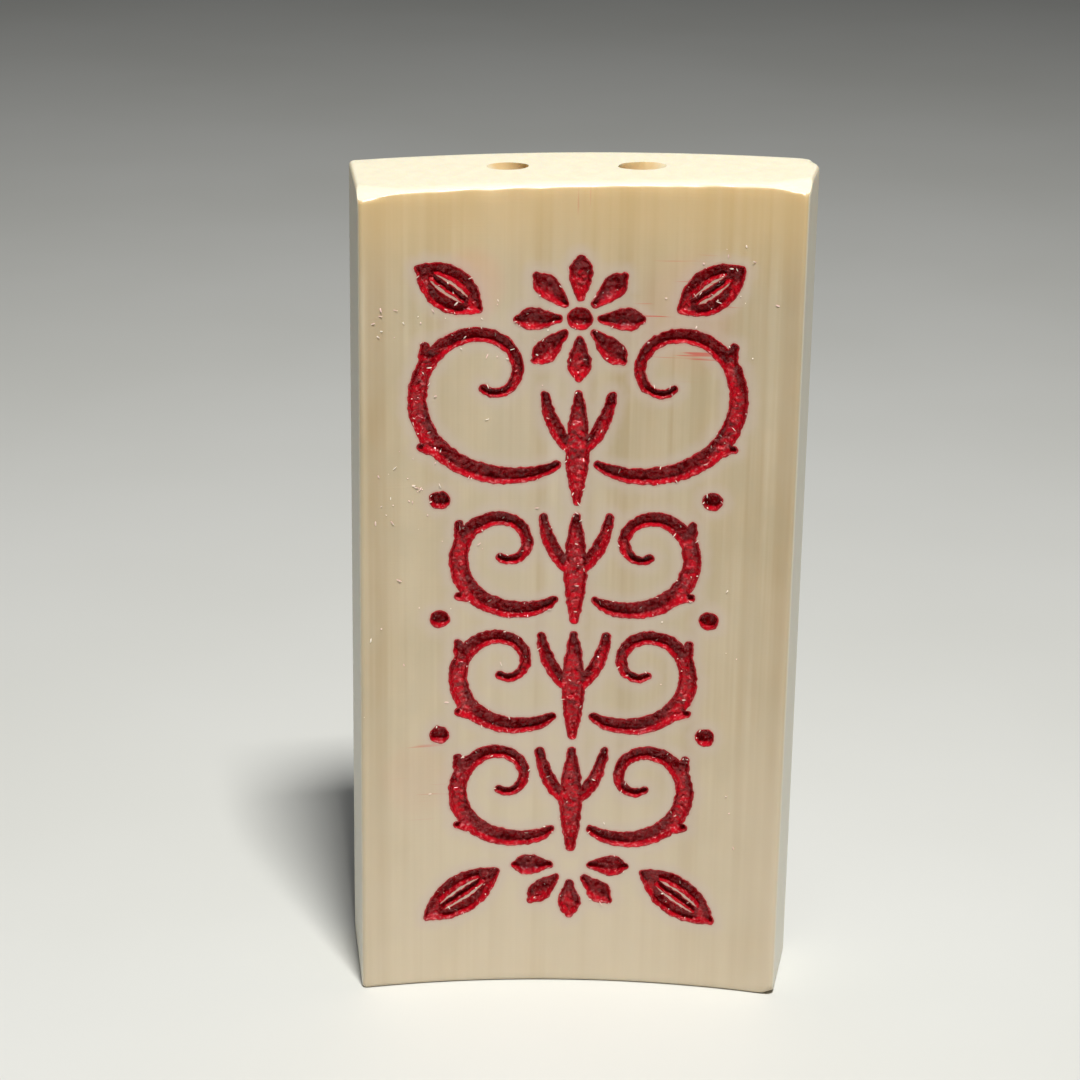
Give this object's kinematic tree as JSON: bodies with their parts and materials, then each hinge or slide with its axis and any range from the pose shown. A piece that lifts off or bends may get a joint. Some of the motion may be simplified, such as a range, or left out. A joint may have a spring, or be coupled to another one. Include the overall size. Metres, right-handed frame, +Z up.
{
  "type": "carved hanging tablet",
  "caption": "Upright domino-sized tablet of ivory-coloured material with a hollow carved front filled with red lacquer and slanting cord holes in its top end.",
  "frame": {"origin": "middle of the bottom end, at the centre of the tablet's plan box", "axes": "+Z up the tablet's length, -Y out of the carved hollow front, +X to the right seen from the front"},
  "size_m": [0.027, 0.0104, 0.0503],
  "materials": {
    "ivory": "satin",
    "red_lacquer": "gloss"
  },
  "bodies": {
    "root": {"tablet": "ivory", "lacquer_berry_1_left": "red_lacquer", "lacquer_berry_1_right": "red_lacquer", "lacquer_berry_2_left": "red_lacquer", "lacquer_berry_2_right": "red_lacquer", "lacquer_berry_3_left": "red_lacquer", "lacquer_berry_3_right": "red_lacquer", "lacquer_blossom_heart": "red_lacquer", "lacquer_blossom_petal_1": "red_lacquer", "lacquer_blossom_petal_2": "red_lacquer", "lacquer_blossom_petal_3": "red_lacquer", "lacquer_blossom_petal_4": "red_lacquer", "lacquer_blossom_petal_5": "red_lacquer", "lacquer_blossom_petal_6": "red_lacquer", "lacquer_blossom_petal_7": "red_lacquer", "lacquer_blossom_petal_8": "red_lacquer", "lacquer_fan_petal_1": "red_lacquer", "lacquer_fan_petal_2": "red_lacquer", "lacquer_fan_petal_3": "red_lacquer", "lacquer_fan_petal_4": "red_lacquer", "lacquer_fan_petal_5": "red_lacquer", "lacquer_leaf_high_left": "red_lacquer", "lacquer_leaf_high_right": "red_lacquer", "lacquer_leaf_low_left": "red_lacquer", "lacquer_leaf_low_right": "red_lacquer", "lacquer_scroll_1_left": "red_lacquer", "lacquer_scroll_1_right": "red_lacquer", "lacquer_scroll_2_left": "red_lacquer", "lacquer_scroll_2_right": "red_lacquer", "lacquer_scroll_3_left": "red_lacquer", "lacquer_scroll_3_right": "red_lacquer", "lacquer_scroll_wide_left": "red_lacquer", "lacquer_scroll_wide_right": "red_lacquer", "lacquer_stem_1": "red_lacquer", "lacquer_stem_2": "red_lacquer", "lacquer_stem_3": "red_lacquer", "lacquer_stem_4": "red_lacquer"}
  },
  "joints": []
}
